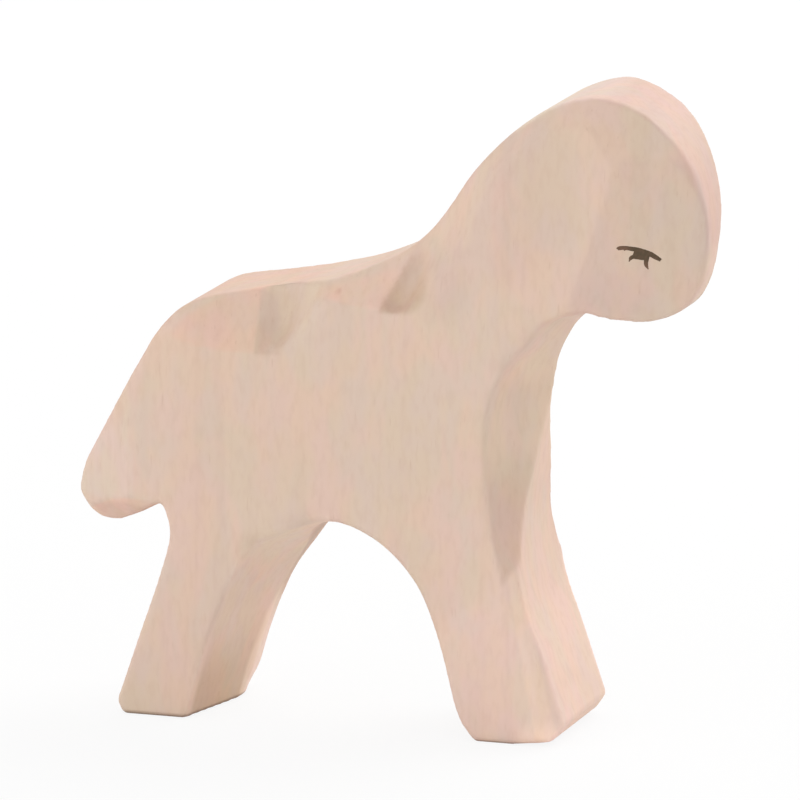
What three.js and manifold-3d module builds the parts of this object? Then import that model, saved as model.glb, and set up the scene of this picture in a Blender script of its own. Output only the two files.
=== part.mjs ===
// A small standing lamb, carved from one piece of pale maple board, with an eye painted on each
// side of its face. Sizes are in millimetres. X runs from the tail to the nose, Y runs across the
// thickness of the board and Z is up. The figure stands on its two flat soles at Z = 0.
import * as THREE from 'three';
import { mergeVertices } from 'three/addons/utils/BufferGeometryUtils.js';
import Module from 'manifold-3d';

// Board and sanding.
const BOARD_THICKNESS = 16;
const SANDED_EDGE = 0.25;

// Head: from the top to the nose the outline is a quarter of an ellipse.
const HEAD_CENTRE_X = 21.9;
const HEAD_CENTRE_Z = 52;
const HEAD_HALF_LENGTH = 10.85;
const HEAD_HALF_HEIGHT = 13.2;

// Soles: their height on the drawing, and where each foot starts and ends along X. The toe of the
// front foot is sanded up a little in front of its sole.
const SOLE_Z = -0.25;
const HIND_SOLE_REAR = -26.7;
const HIND_SOLE_FRONT = -17.6;
const FRONT_SOLE_REAR = 10.4;
const FRONT_SOLE_FRONT = 14.6;
const TOE = [18.4, 0.2];

// The sawn outline, as points [x, z] in the order that the saw passes them: up the hind leg,
// round the tail, along the back to the head, down the front and through the belly arch.
const HIND_LEG_BACK = [[-27.3, 1.1], [-24.85, 8.2], [-22.4, 15.3], [-21.6, 18.9], [-22.4, 21.8]];
const TAIL = [
  [-22.4, 21.8], [-26.4, 19.65], [-29.0, 18.65], [-31.2, 19.3], [-32.1, 21.4], [-31.65, 24.3], [-30.1, 27.2],
];
const RUMP = [[-26.6, 33.1], [-23.3, 38.6], [-22.1, 40.2], [-20.8, 41.5], [-18.6, 42.65]];
const BACK = [[-13.8, 43.65], [-8.2, 44.7], [-4.5, 45.5], [-0.8, 46.9]];
const NECK_BACK = [
  [2.1, 48.35], [4.6, 50.4], [6.9, 53.2], [9.3, 56.6], [12.0, 59.55], [14.5, 61.8], [17.7, 63.95],
];
const HEAD_ARC_STEPS = 6;
const MUZZLE = [[32.05, 46.6], [30.35, 43.85], [27.5, 42.62], [24.2, 42.85], [21.4, 43.7]];
const THROAT = [[21.4, 43.7], [19.05, 41.9], [17.4, 38.7], [15.9, 33.4], [15.15, 27.5], [14.45, 21.5]];
const FRONT_LEG_FRONT = [[15.4, 14.2], [17.7, 7.9], [19.65, 2.0]];
const HEEL = [[9.0, 1.5], [8.3, 3.3]];
const BELLY = [
  [8.3, 3.3], [7.0, 8.5], [5.9, 11.9], [4.5, 15.0], [2.2, 17.8], [-0.6, 19.85], [-3.9, 20.9], [-7.4, 19.6],
];
const HIND_LEG_FRONT = [[-10.1, 16.3], [-12.4, 13.2], [-14.1, 9.8], [-15.5, 6.2], [-16.6, 2.6]];
const OUTLINE_STEP = 1.1;

// Knife strokes that pare the corner between a side of the board and its sawn edge. Each row is
// [x, z, width, depth, hollow]: a place on the outline, how far the facet reaches in over the side
// there, how far it reaches across the thickness of the board, and how far it sags if it isn't flat.
const RUMP_STROKE = [
  [-23.0, 39.0, 0.3, 0.2], [-21.3, 41.1, 1.6, 0.7], [-18.6, 42.6, 4.0, 1.3], [-16.2, 43.1, 5.2, 1.9],
  [-12.9, 43.8, 6.2, 2.5],
];
const BACK_STROKE = [
  [-13.2, 43.7, 6.2, 2.4], [-10.8, 44.1, 6.0, 2.6, 0.9], [-9.2, 44.4, 4.9, 2.6, 0.8],
  [-7.4, 44.7, 3.4, 2.2, 0.3], [-5.8, 45.1, 2.6, 1.8], [-3.8, 45.6, 2.6, 1.9], [0.5, 47.4, 4.8, 3.0],
];
const HEAD_STROKE = [
  [2.6, 48.6, 5.4, 3.2], [4.6, 50.4, 4.8, 3.4], [6.9, 53.2, 3.6, 3.0], [9.5, 56.4, 2.6, 2.2],
  [12.1, 59.4, 1.9, 1.5], [16.2, 62.9, 2.3, 1.2], [21.9, 65.0, 3.1, 1.6], [25.3, 64.3, 5.0, 2.4],
  [28.9, 62.0, 5.5, 2.9], [31.3, 59.0, 3.3, 4.1], [32.7, 55.0, 1.7, 5.2], [32.7, 52.0, 0.4, 5.2],
];
const TAIL_STROKE = [
  [-23.2, 21.0, 0.1, 0.1], [-24.6, 20.3, 1.2, 1.0], [-26.6, 19.7, 3.3, 2.8], [-28.9, 19.4, 4.1, 4.4],
  [-30.9, 20.2, 2.9, 4.4], [-31.9, 22.6, 0.4, 2.6],
];
const CHEST_STROKE = [
  [20.6, 43.0, 0.6, 5.0], [19.0, 41.5, 1.6, 8.1], [17.9, 39.6, 2.2, 8.2, 0.2], [17.2, 37.8, 3.1, 8.3, 0.4],
  [16.0, 34.0, 4.1, 7.8, 0.5], [15.4, 30.0, 4.1, 6.3, 0.5], [14.7, 24.0, 3.1, 3.6, 0.4],
  [14.6, 20.0, 2.1, 2.4, 0.2], [14.9, 16.4, 0.6, 0.8],
];
const SHIN_STROKE = [
  [14.9, 18.4, 0.7, 0.6], [15.5, 15.0, 1.5, 0.8], [16.1, 12.0, 1.4, 0.6], [17.4, 7.9, 1.1, 0.9],
  [19.2, 2.6, 0.8, 0.8],
];
const HOLLOW_OF_HIND_LEG = [
  [-3.4, 21.1, 0.1, 0.4], [-8.0, 18.9, 1.6, 4.5], [-10.5, 16.4, 3.5, 8.5], [-12.9, 12.6, 2.9, 10.5],
  [-15.5, 6.2, 2.6, 11.0], [-16.6, 2.6, 2.5, 11.0],
];
const FAR_CORNER_OF_HIND_LEG = [
  [-4.4, 20.8, 0.1, 0.4], [-8.0, 18.9, 1.2, 4.0], [-10.2, 16.2, 1.3, 4.3], [-12.4, 13.2, 1.0, 3.7],
  [-15.5, 6.2, 0.8, 2.9], [-16.6, 2.6, 0.9, 2.8], [-17.2, 0.8, 1.2, 4.4],
];
const STROKE_STEP = 1.2;
const FLOOR_SHARES = [0, 0.25, 0.5, 0.75, 1];
const FINEST_SLIVER = 0.03;

// Flat chips off the sides: the line [[x, z], [x, z]] where the knife enters the side, and the
// depth gained for each millimetre beyond that line.
const FACE_CHIP = { line: [[17.1, 36.0], [26.1, 62.0]], slope: 0.58 };
const TAIL_CHIP = { line: [[-24.2, 38.0], [-25.2, 18.4]], slope: 0.42 };
const RUMP_CHIP = { line: [[-20.4, 41.0], [-22.0, 20.6]], slope: 0.12 };

// The mark of a round gouge at the withers: from the low end of the tool's centre line to the
// high end, as [x, z, depth], where the depth is that of the groove below the side of the board.
const WITHERS_GOUGE = { from: [2.2, 44.6, 1.5], to: [3.9, 48.2, 2.9], radius: 2.1 };
const TOOL_OVERRUN = 2;
const GOUGE_SEGMENTS = 10;

// The drawn eye, as it lies on the face: a lid, an iris that hangs from it, and two lashes.
// Places are [x, z] seen from the side.
const EYE_LID = {
  course: [[24.62, 50.2], [25.2, 50.5], [26.4, 50.32], [27.6, 49.8], [28.65, 48.95]],
  width: 0.34,
};
const EYE_FRONT_LASH = {
  course: [[27.15, 49.3], [27.24, 48.8], [27.42, 48.25]],
  width: 0.3,
};
const EYE_REAR_LASH = {
  course: [[26.6, 49.6], [26.2, 49.3], [25.8, 49.0]],
  width: 0.26,
};
const IRIS = [
  [26.1, 50.3], [26.22, 49.8], [26.05, 49.3], [26.5, 49.12], [27.25, 49.1], [27.55, 49.45], [27.6, 49.75],
];
const PAINT_THICKNESS = 0.15;
const PAINT_CLEARANCE = 0.3;
const PEN_STEPS = 16;
const PEN_TIP = 0.04;

// Colours of the bare wood and of the drawn eye, as they look in daylight.
const MAPLE_COLOUR = '#dec3b2';
const MAPLE_ROUGHNESS = 0.62;
const EYE_COLOUR = '#54463a';
const EYE_ROUGHNESS = 0.7;

const NEAR_SIDE = -1;
const FAR_SIDE = 1;

const wasm = await Module();
wasm.setup();

/** Turns a closed geometry into a solid that can be joined and cut. */
function solidOf(geometry) {
  const bare = geometry.index ? geometry.toNonIndexed() : geometry.clone();
  for (const name of Object.keys(bare.attributes)) {
    if (name !== 'position') bare.deleteAttribute(name);
  }
  const merged = mergeVertices(bare, 1e-5);
  return new wasm.Manifold(new wasm.Mesh({
    numProp: 3,
    vertProperties: merged.attributes.position.array,
    triVerts: new Uint32Array(merged.index.array),
  }));
}

/** Turns a cut solid back into a geometry with flat facets. */
function geometryOf(solid) {
  const mesh = solid.getMesh();
  const geometry = new THREE.BufferGeometry();
  geometry.setAttribute('position', new THREE.BufferAttribute(mesh.vertProperties, 3));
  geometry.setIndex(new THREE.BufferAttribute(mesh.triVerts, 1));
  geometry.computeVertexNormals();
  return geometry;
}

/** Points [x, z] spaced evenly along a smooth curve through the given ones. */
function bend(points) {
  const through = points.map(([x, z]) => new THREE.Vector3(x, 0, z));
  const curve = new THREE.CatmullRomCurve3(through, false, 'centripetal');
  const steps = Math.round(curve.getLength() / OUTLINE_STEP);
  return curve.getSpacedPoints(steps).map((point) => [point.x, point.z]);
}

/** The quarter ellipse over the forehead, from the top of the head to the nose. */
function headArc() {
  const points = [];
  for (let step = 0; step <= HEAD_ARC_STEPS; step += 1) {
    const angle = (Math.PI / 2) * (1 - step / HEAD_ARC_STEPS);
    points.push([
      HEAD_CENTRE_X + HEAD_HALF_LENGTH * Math.cos(angle),
      HEAD_CENTRE_Z + HEAD_HALF_HEIGHT * Math.sin(angle),
    ]);
  }
  return points;
}

/** The outline of the lamb as the band saw leaves it, as a closed loop of points. */
function sawnOutline() {
  return [
    [HIND_SOLE_FRONT, SOLE_Z],
    [HIND_SOLE_REAR, SOLE_Z],
    ...bend(HIND_LEG_BACK).slice(0, -1),
    ...bend([...TAIL, ...RUMP, ...BACK, ...NECK_BACK, ...headArc(), ...MUZZLE]).slice(0, -1),
    ...bend([...THROAT, ...FRONT_LEG_FRONT]),
    TOE,
    [FRONT_SOLE_FRONT, SOLE_Z],
    [FRONT_SOLE_REAR, SOLE_Z],
    HEEL[0],
    ...bend([...BELLY, ...HIND_LEG_FRONT]),
  ].map(([x, z]) => new THREE.Vector2(x, z));
}

/** The board sawn to the outline, with its edges sanded off. */
function sawnBoard(outline) {
  const board = new THREE.ExtrudeGeometry(new THREE.Shape(outline), {
    depth: BOARD_THICKNESS - 2 * SANDED_EDGE,
    steps: 1,
    bevelEnabled: true,
    bevelThickness: SANDED_EDGE,
    bevelSize: SANDED_EDGE,
    bevelOffset: -SANDED_EDGE,
    bevelSegments: 1,
  });
  board.rotateX(Math.PI / 2);
  board.translate(0, BOARD_THICKNESS / 2 - SANDED_EDGE, 0);
  return solidOf(board);
}

/** Lets a place on the closed outline be found by its distance along it. */
class Edge {
  constructor(outline) {
    this.points = outline;
    this.distances = [0];
    outline.forEach((point, index) => {
      const next = outline[(index + 1) % outline.length];
      this.distances.push(this.distances[index] + point.distanceTo(next));
    });
  }

  /** The distance along the outline of the place nearest to [x, z]. */
  distanceTo(x, z) {
    const target = new THREE.Vector2(x, z);
    let best = { gap: Infinity, distance: 0 };
    this.points.forEach((start, index) => {
      const end = this.points[(index + 1) % this.points.length];
      const run = end.clone().sub(start);
      const share = THREE.MathUtils.clamp(target.clone().sub(start).dot(run) / run.lengthSq(), 0, 1);
      const gap = start.clone().addScaledVector(run, share).distanceTo(target);
      if (gap < best.gap) best = { gap, distance: this.distances[index] + share * run.length() };
    });
    return best.distance;
  }

  /** The point at a distance along the outline. */
  pointAt(distance) {
    const whole = this.distances[this.points.length];
    const wrapped = ((distance % whole) + whole) % whole;
    const index = this.distances.findIndex((reached) => reached > wrapped) - 1;
    const share = (wrapped - this.distances[index]) / (this.distances[index + 1] - this.distances[index]);
    return this.points[index].clone().lerp(this.points[(index + 1) % this.points.length], share);
  }

  /** The unit vector that points along the outline there. */
  directionAt(distance) {
    const behind = this.pointAt(distance - OUTLINE_STEP / 2);
    return this.pointAt(distance + OUTLINE_STEP / 2).sub(behind).normalize();
  }
}

/** Six times the volume inside a closed set of triangles, negative when they face inwards. */
function signedVolume(positions, faces) {
  const corner = (index) => new THREE.Vector3().fromArray(positions, 3 * faces[index]);
  let volume = 0;
  for (let index = 0; index < faces.length; index += 3) {
    volume += corner(index).dot(corner(index + 1).cross(corner(index + 2)));
  }
  return volume;
}

/** A closed solid through sections that are loops of equally many points. */
function loft(sections) {
  const size = sections[0].length;
  const positions = sections.flat().flatMap((point) => point.toArray());
  const faces = [];
  for (let section = 0; section + 1 < sections.length; section += 1) {
    for (let corner = 0; corner < size; corner += 1) {
      const here = section * size + corner;
      const beside = section * size + ((corner + 1) % size);
      faces.push(here, beside, beside + size, here, beside + size, here + size);
    }
  }
  const last = (sections.length - 1) * size;
  for (let corner = 1; corner + 1 < size; corner += 1) {
    faces.push(0, corner + 1, corner, last, last + corner, last + corner + 1);
  }
  if (signedVolume(positions, faces) < 0) faces.reverse();
  const geometry = new THREE.BufferGeometry();
  geometry.setAttribute('position', new THREE.Float32BufferAttribute(positions, 3));
  geometry.setIndex(faces);
  return geometry;
}

/** The value at a distance, read off straight lines between stops of [distance, value]. */
function valueAt(stops, distance) {
  const passed = stops.filter(([reached]) => reached < distance).length;
  const index = THREE.MathUtils.clamp(passed, 1, stops.length - 1);
  const [[start, low], [end, high]] = [stops[index - 1], stops[index]];
  return THREE.MathUtils.lerp(low, high, THREE.MathUtils.clamp((distance - start) / (end - start), 0, 1));
}

/** The sections of a knife stroke, one every STROKE_STEP or so along the edge. */
function strokeSections(edge, rows) {
  const course = new THREE.CatmullRomCurve3(
    rows.map(([x, z, width, depth]) => new THREE.Vector3(edge.distanceTo(x, z), width, depth)),
    false,
    'centripetal',
  );
  const hollows = rows.map(([x, z, , , hollow = 0]) => [edge.distanceTo(x, z), hollow]);
  const steps = Math.round(course.getLength() / STROKE_STEP);
  return course.getPoints(steps).map(({ x: distance, y: width, z: depth }) => {
    const along = edge.directionAt(distance);
    const outward = new THREE.Vector2(-along.y, along.x);
    return { place: edge.pointAt(distance), outward, width, depth, hollow: valueAt(hollows, distance) };
  });
}

/** The loop of points around the wood that a knife stroke takes off at one section. */
function strokeLoop({ place, outward, width, depth, hollow }, side) {
  const face = new THREE.Vector2(width, depth).normalize();
  const floor = FLOOR_SHARES.map((share) => {
    const sag = 4 * share * (1 - share) * hollow;
    return [-width * (1 - share) - face.y * sag, depth * share + face.x * sag];
  });
  const start = [-width - face.x * TOOL_OVERRUN, -face.y * TOOL_OVERRUN];
  const end = [face.x * TOOL_OVERRUN, depth + face.y * TOOL_OVERRUN];
  const outside = [TOOL_OVERRUN, -TOOL_OVERRUN];
  return [outside, start, ...floor, end].map(([out, across]) => new THREE.Vector3(
    place.x + outward.x * out,
    side * (BOARD_THICKNESS / 2 - across),
    place.y + outward.y * out,
  ));
}

/** The wood that one knife stroke takes off along the edge, on one side of the board. */
function knifeStroke(edge, rows, side, { throughSole = false } = {}) {
  const sections = strokeSections(edge, rows);
  if (throughSole) {
    const [before, last] = sections.slice(-2);
    const run = last.place.clone().sub(before.place).setLength(2 * TOOL_OVERRUN);
    sections.push({ ...last, place: last.place.clone().add(run) });
  }
  return solidOf(loft(sections.map((section) => strokeLoop(section, side))));
}

/** How deep a flat chip goes below the side of the board at the place [x, z]. */
function chipDepthAt({ line, slope }, x, z) {
  const [[startX, startZ], [endX, endZ]] = line;
  const length = Math.hypot(endX - startX, endZ - startZ);
  return (slope * ((x - startX) * (endZ - startZ) - (z - startZ) * (endX - startX))) / length;
}

/** A flat chip of wood that lies beyond a line across one side of the board. */
function flatChip(outline, { line, slope }, side) {
  const [start, end] = line.map(([x, z]) => new THREE.Vector2(x, z));
  const along = end.clone().sub(start).normalize();
  const outward = new THREE.Vector2(along.y, -along.x);
  const reach = TOOL_OVERRUN + Math.max(...outline.map((point) => point.clone().sub(start).dot(outward)));
  const profile = [
    [-TOOL_OVERRUN, -slope * TOOL_OVERRUN],
    [reach, slope * reach],
    [reach, -TOOL_OVERRUN],
    [-TOOL_OVERRUN, -TOOL_OVERRUN],
  ];
  const loops = [start, end].map((place) => profile.map(([out, across]) => new THREE.Vector3(
    place.x + outward.x * out,
    side * (BOARD_THICKNESS / 2 - across),
    place.y + outward.y * out,
  )));
  return solidOf(loft(loops));
}

/** The groove that a round gouge leaves in one side of the board. */
function roundGouge({ from, to, radius }, side) {
  const [low, high] = [from, to].map(([x, z, depth]) => (
    new THREE.Vector3(x, side * (BOARD_THICKNESS / 2 + radius - depth), z)
  ));
  const run = high.clone().sub(low);
  const tool = new THREE.CapsuleGeometry(radius, run.length(), GOUGE_SEGMENTS, 4 * GOUGE_SEGMENTS, 1);
  const capsuleAxis = new THREE.Vector3(0, 1, 0);
  tool.applyQuaternion(new THREE.Quaternion().setFromUnitVectors(capsuleAxis, run.clone().normalize()));
  tool.translate(...low.add(high).divideScalar(2).toArray());
  return solidOf(tool);
}

/** One stroke of the pen, pointed at both ends, as a flat shape seen from the side. */
function penStroke({ course, width }) {
  const line = new THREE.SplineCurve(course.map(([x, z]) => new THREE.Vector2(x, z)));
  const upper = [];
  const lower = [];
  for (let step = 0; step <= PEN_STEPS; step += 1) {
    const share = step / PEN_STEPS;
    const along = line.getTangent(share);
    const swell = Math.sin(Math.PI * THREE.MathUtils.clamp(share, PEN_TIP, 1 - PEN_TIP));
    const half = (width / 2) * Math.sqrt(swell);
    const across = new THREE.Vector2(-along.y, along.x).multiplyScalar(half);
    upper.push(line.getPoint(share).add(across));
    lower.push(line.getPoint(share).sub(across));
  }
  return new THREE.Shape([...lower, ...upper.reverse()]);
}

/** The painted eye as a thin film that lies on the cut face of one side of the head. */
function paintedEye(side) {
  const iris = new THREE.Shape(IRIS.map(([x, z]) => new THREE.Vector2(x, z)));
  const shapes = [penStroke(EYE_LID), penStroke(EYE_FRONT_LASH), penStroke(EYE_REAR_LASH), iris];
  const marks = shapes.map((shape) => solidOf(new THREE.ExtrudeGeometry(shape, {
    depth: PAINT_THICKNESS,
    steps: 1,
    bevelEnabled: false,
  })));
  const geometry = geometryOf(marks.reduce((joined, mark) => joined.add(mark)));
  const positions = geometry.attributes.position;
  for (let index = 0; index < positions.count; index += 1) {
    const [x, z, lift] = [positions.getX(index), positions.getY(index), positions.getZ(index)];
    const surface = BOARD_THICKNESS / 2 - chipDepthAt(FACE_CHIP, x, z);
    positions.setXYZ(index, x, side * (surface + PAINT_CLEARANCE + lift), z);
  }
  if (side === FAR_SIDE) geometry.setIndex([...geometry.index.array].reverse());
  geometry.computeVertexNormals();
  return geometry;
}

/** The lamb's body: the sawn board with every knife stroke, chip and gouge mark taken off it. */
function carvedBody() {
  const outline = sawnOutline();
  const edge = new Edge(outline);
  let wood = sawnBoard(outline);
  for (const side of [NEAR_SIDE, FAR_SIDE]) {
    const cuts = [
      knifeStroke(edge, RUMP_STROKE, side),
      knifeStroke(edge, [...BACK_STROKE, ...HEAD_STROKE], side),
      knifeStroke(edge, TAIL_STROKE, side),
      knifeStroke(edge, CHEST_STROKE, side),
      knifeStroke(edge, SHIN_STROKE, side, { throughSole: true }),
      flatChip(outline, FACE_CHIP, side),
      flatChip(outline, TAIL_CHIP, side),
      flatChip(outline, RUMP_CHIP, side),
      roundGouge(WITHERS_GOUGE, side),
    ];
    for (const cut of cuts) wood = wood.subtract(cut);
  }
  wood = wood.subtract(knifeStroke(edge, HOLLOW_OF_HIND_LEG, NEAR_SIDE, { throughSole: true }));
  wood = wood.subtract(knifeStroke(edge, FAR_CORNER_OF_HIND_LEG, FAR_SIDE, { throughSole: true }));
  return geometryOf(wood.asOriginal().simplify(FINEST_SLIVER));
}

/** A named piece of the figure. */
function piece(name, geometry, material) {
  const mesh = new THREE.Mesh(geometry, material);
  mesh.name = name;
  return mesh;
}

const maple = new THREE.MeshStandardMaterial({
  color: MAPLE_COLOUR, roughness: MAPLE_ROUGHNESS, metalness: 0,
});
const paint = new THREE.MeshStandardMaterial({
  color: EYE_COLOUR, roughness: EYE_ROUGHNESS, metalness: 0,
});

const figure = new THREE.Group();
figure.add(piece('lamb_body', carvedBody(), maple));
figure.add(piece('painted_eye_right', paintedEye(NEAR_SIDE), paint));
figure.add(piece('painted_eye_left', paintedEye(FAR_SIDE), paint));

// The figure stands on its soles at Z = 0, with the origin under its middle.
const bounds = new THREE.Box3().setFromObject(figure);
figure.position.set(-bounds.getCenter(new THREE.Vector3()).x, 0, -SOLE_Z);

export default figure;
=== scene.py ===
"""Looks of the wooden lamb figure: the carved body, its two painted eyes and the studio around it."""

import logging
import math
from dataclasses import dataclass
from enum import Enum
from typing import Any

import bmesh
import bpy
import numpy as np
from mathutils import Color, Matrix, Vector


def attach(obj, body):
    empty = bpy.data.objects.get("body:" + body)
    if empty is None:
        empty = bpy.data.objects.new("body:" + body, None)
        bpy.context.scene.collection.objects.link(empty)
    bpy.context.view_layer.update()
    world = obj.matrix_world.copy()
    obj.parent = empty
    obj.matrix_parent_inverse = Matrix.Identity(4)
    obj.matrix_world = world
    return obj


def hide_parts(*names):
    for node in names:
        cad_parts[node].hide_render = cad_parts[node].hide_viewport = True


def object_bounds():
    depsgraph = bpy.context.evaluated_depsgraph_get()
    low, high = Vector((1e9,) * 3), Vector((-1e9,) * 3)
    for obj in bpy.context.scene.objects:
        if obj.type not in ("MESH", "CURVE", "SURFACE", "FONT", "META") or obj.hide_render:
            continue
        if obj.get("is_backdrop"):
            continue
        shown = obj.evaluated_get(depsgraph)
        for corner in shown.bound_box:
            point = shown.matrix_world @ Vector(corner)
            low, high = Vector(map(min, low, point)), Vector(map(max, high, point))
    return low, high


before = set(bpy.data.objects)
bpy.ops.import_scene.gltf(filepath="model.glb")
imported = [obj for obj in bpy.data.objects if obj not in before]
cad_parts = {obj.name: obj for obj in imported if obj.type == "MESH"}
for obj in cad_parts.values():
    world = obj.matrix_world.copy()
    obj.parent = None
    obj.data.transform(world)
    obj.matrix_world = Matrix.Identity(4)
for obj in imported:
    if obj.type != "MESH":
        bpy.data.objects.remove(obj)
CAD_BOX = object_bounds()

LOG = logging.getLogger("wooden_lamb")
MM = 0.001
TINT = "tint"
WHITE = (1.0, 1.0, 1.0, 1.0)

# Three numbers, such as a colour's, and a place [x, z] on the side of the lamb.
Triple = tuple[float, float, float]
Place = tuple[float, float]


def linear(colour: Triple) -> tuple[float, float, float, float]:
    """Turns a colour as a screen shows it into the linear colour that a shader takes, with full alpha."""
    return (*Color(colour).from_srgb_to_scene_linear(), 1.0)


def put_in_scene(name: str, data: bpy.types.ID) -> bpy.types.Object:
    """Makes an object and puts it in the scene.

    Args:
        name: The object's name.
        data: Its mesh, curve, light or camera.

    Returns:
        The object, at the origin.
    """
    thing = bpy.data.objects.new(name, data)
    bpy.context.scene.collection.objects.link(thing)
    return thing


def finished_mesh(maker: bpy.types.Object) -> bpy.types.Mesh:
    """Makes a plain mesh of what an object's modifiers give, and takes the object away.

    Args:
        maker: The object with the modifiers.

    Returns:
        The mesh, shaded smooth.
    """
    graph = bpy.context.evaluated_depsgraph_get()
    mesh = bpy.data.meshes.new_from_object(maker.evaluated_get(graph))
    bpy.data.objects.remove(maker)
    mesh.shade_smooth()
    return mesh


class Side(Enum):
    """The two flat sides of the board, by the sign of Y that each lies on."""

    RIGHT = -1
    LEFT = 1


# Parts of a surface's direction along Y: from which a flat side counts in full, at which the board's
# edge ends, and the span over which the edge fades before that.
SIDE_FULL = 0.125
EDGE_END = 0.8
EDGE_FADE = 0.25


class Facing(Enum):
    """Where a part of the surface looks: out of a flat side, or along the board's edge."""

    RIGHT = -1
    EDGE = 0
    LEFT = 1

    def weight_of(self, facing: np.ndarray) -> np.ndarray:
        """Gives how far each place looks this way.

        Args:
            facing: The Y part of the surface's direction at each place.

        Returns:
            Weights from 0 to 1.
        """
        if self is Facing.EDGE:
            return np.clip((EDGE_END - np.abs(facing)) / EDGE_FADE, 0.0, 1.0)
        return np.clip(facing * self.value / SIDE_FULL, 0.0, 1.0)


SIDES = (Facing.RIGHT, Facing.LEFT)
ALL_ROUND = (Facing.RIGHT, Facing.EDGE, Facing.LEFT)


@dataclass(frozen=True)
class Clouds:
    """A cloudy pattern: how many clouds fit in a metre along each axis, and how they are drawn."""

    count: Triple
    detail: float = 2.0
    bend: float = 0.0


@dataclass(frozen=True)
class Fade:
    """How a pattern shows: not at all at its low value, and at full strength at its high one."""

    low: float
    high: float
    strength: float = 1.0


class Value:
    """A node's socket that takes part in arithmetic: each operator adds one Math node."""

    def __init__(self, tree: "Nodes", socket: bpy.types.NodeSocket | None) -> None:
        """Keeps the socket and the tree that it belongs to."""
        self.tree = tree
        self.socket = socket

    def _math(self, operation: str, first: "Value | float", second: "Value | float") -> "Value":
        """Adds one Math node on two values or numbers."""
        return self.tree.node("ShaderNodeMath", {"operation": operation}, {0: first, 1: second})

    def __add__(self, other: "Value | float") -> "Value":
        """Adds a value or number."""
        return self._math("ADD", self, other)

    def __radd__(self, other: "Value | float") -> "Value":
        """Is added to a number."""
        return self._math("ADD", other, self)

    def __sub__(self, other: "Value | float") -> "Value":
        """Takes a value or number away."""
        return self._math("SUBTRACT", self, other)

    def __rsub__(self, other: "Value | float") -> "Value":
        """Is taken away from a number."""
        return self._math("SUBTRACT", other, self)

    def __mul__(self, other: "Value | float") -> "Value":
        """Multiplies by a value or number."""
        return self._math("MULTIPLY", self, other)

    def __rmul__(self, other: "Value | float") -> "Value":
        """Multiplies a number."""
        return self._math("MULTIPLY", other, self)

    def fade(self, fade: Fade) -> "Value":
        """Rises smoothly from 0 to the fade's strength as this value goes from its low to its high.

        Args:
            fade: The two values and the strength.

        Returns:
            The smooth step.
        """
        settings = {"interpolation_type": "SMOOTHSTEP"}
        values = {"Value": self, "From Min": fade.low, "From Max": fade.high, "To Max": fade.strength}
        return self.tree.node("ShaderNodeMapRange", settings, values)


class Nodes:
    """A node tree that is written as expressions."""

    def __init__(self, tree: bpy.types.NodeTree) -> None:
        """Empties the tree that the nodes are added to."""
        self.tree = tree
        self.tree.nodes.clear()

    @staticmethod
    def _find(sockets: Any, key: int | str) -> bpy.types.NodeSocket:
        """Finds a socket of a node.

        Args:
            sockets: The node's inputs or outputs.
            key: The socket's number, identifier or name.

        Returns:
            The socket.
        """
        if isinstance(key, int):
            return sockets[key]
        return next((socket for socket in sockets if socket.identifier == key), None) or sockets[key]

    def node(
        self,
        kind: str,
        settings: dict[str, Any] | None = None,
        values: dict[int | str, Any] | None = None,
        out: int | str = 0,
    ) -> Value:
        """Adds one node.

        Args:
            kind: The node's type.
            settings: Its settings, which are set before its sockets.
            values: What goes into its sockets: a number, a colour, a vector or a Value to link.
            out: The output socket that the result stands for.

        Returns:
            The output socket as a Value, which holds no socket where the node ends its tree.
        """
        node = self.tree.nodes.new(kind)
        for key, setting in (settings or {}).items():
            setattr(node, key, setting)
        for key, value in (values or {}).items():
            socket = self._find(node.inputs, key)
            if isinstance(value, Value):
                self.tree.links.new(value.socket, socket)
            else:
                socket.default_value = value
        return Value(self, self._find(node.outputs, out) if node.outputs else None)

    def vector(self, operation: str, first: Any, second: Any) -> Value:
        """Adds one Vector Math node on two vectors."""
        return self.node("ShaderNodeVectorMath", {"operation": operation}, {0: first, 1: second})


class Shader(Nodes):
    """A material's node tree."""

    def __init__(self, name: str) -> None:
        """Makes an empty material.

        Args:
            name: The material's name.
        """
        self.material = bpy.data.materials.new(name)
        self.material.use_nodes = True
        super().__init__(self.material.node_tree)

    def point(self) -> Value:
        """Gives the point on the piece."""
        return self.node("ShaderNodeTexCoord", out="Object")

    def noise(self, clouds: Clouds) -> Value:
        """Draws a cloudy pattern.

        Args:
            clouds: The pattern.

        Returns:
            A value about 0.5 at each point.
        """
        place = self.vector("MULTIPLY", self.point(), clouds.count)
        values = {"Vector": place, "Scale": 1.0, "Detail": clouds.detail, "Distortion": clouds.bend}
        return self.node("ShaderNodeTexNoise", {"noise_dimensions": "3D"}, values, "Fac")

    def mix(self, factor: Any, first: Any, second: Any, blend: str = "MIX") -> Value:
        """Mixes two colours.

        Args:
            factor: The second colour's share.
            first: The colour at 0.
            second: The colour at 1.
            blend: How the second is laid on the first.

        Returns:
            The mixed colour.
        """
        settings = {"data_type": "RGBA", "blend_type": blend}
        values = {"Factor_Float": factor, "A_Color": first, "B_Color": second}
        return self.node("ShaderNodeMix", settings, values, "Result_Color")

    def tint(self, name: str) -> Value:
        """Gives a colour that the mesh keeps at each point."""
        return self.node("ShaderNodeAttribute", {"attribute_name": name}, None, "Color")

    def close(self, surface: Value) -> bpy.types.Material:
        """Ends the tree in a surface and gives the material."""
        self.node("ShaderNodeOutputMaterial", None, {"Surface": surface})
        return self.material


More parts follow.
